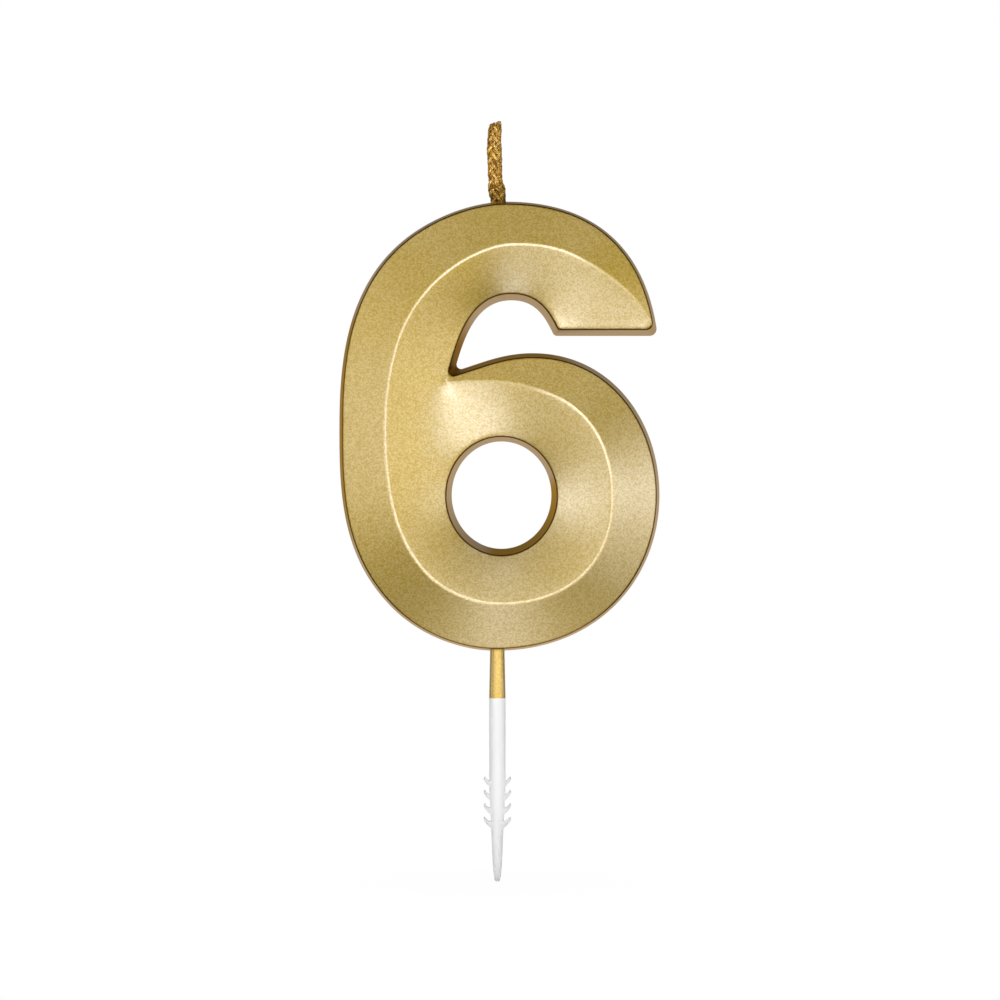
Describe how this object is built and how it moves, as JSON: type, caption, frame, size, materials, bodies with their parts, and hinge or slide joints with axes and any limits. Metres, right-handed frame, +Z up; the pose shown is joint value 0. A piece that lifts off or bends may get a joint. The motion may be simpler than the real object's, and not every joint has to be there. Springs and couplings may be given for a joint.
{
  "type": "number candle",
  "caption": "Moulded birthday candle in the shape of the digit 6 with a bevelled metallic gold face, a gold braided wick and a barbed plastic pick.",
  "frame": {"origin": "on the pick's axis at the level of the cake's top, where the gold overspray on the pick ends", "axes": "+Z up along the pick and wick, +X to the reader's right, -Y towards the reader"},
  "size_m": [0.05, 0.0122, 0.1181],
  "materials": {
    "gold_wax": "wax under a satin metallic gold lacquer with fine flake",
    "wick_cord": "waxed cotton braid, gold coloured",
    "white_plastic": "moulded white plastic, gold overspray above the cake's level"
  },
  "bodies": {
    "root": {"candle_body": "gold_wax", "wick": "wick_cord", "pick": "white_plastic"}
  },
  "joints": []
}
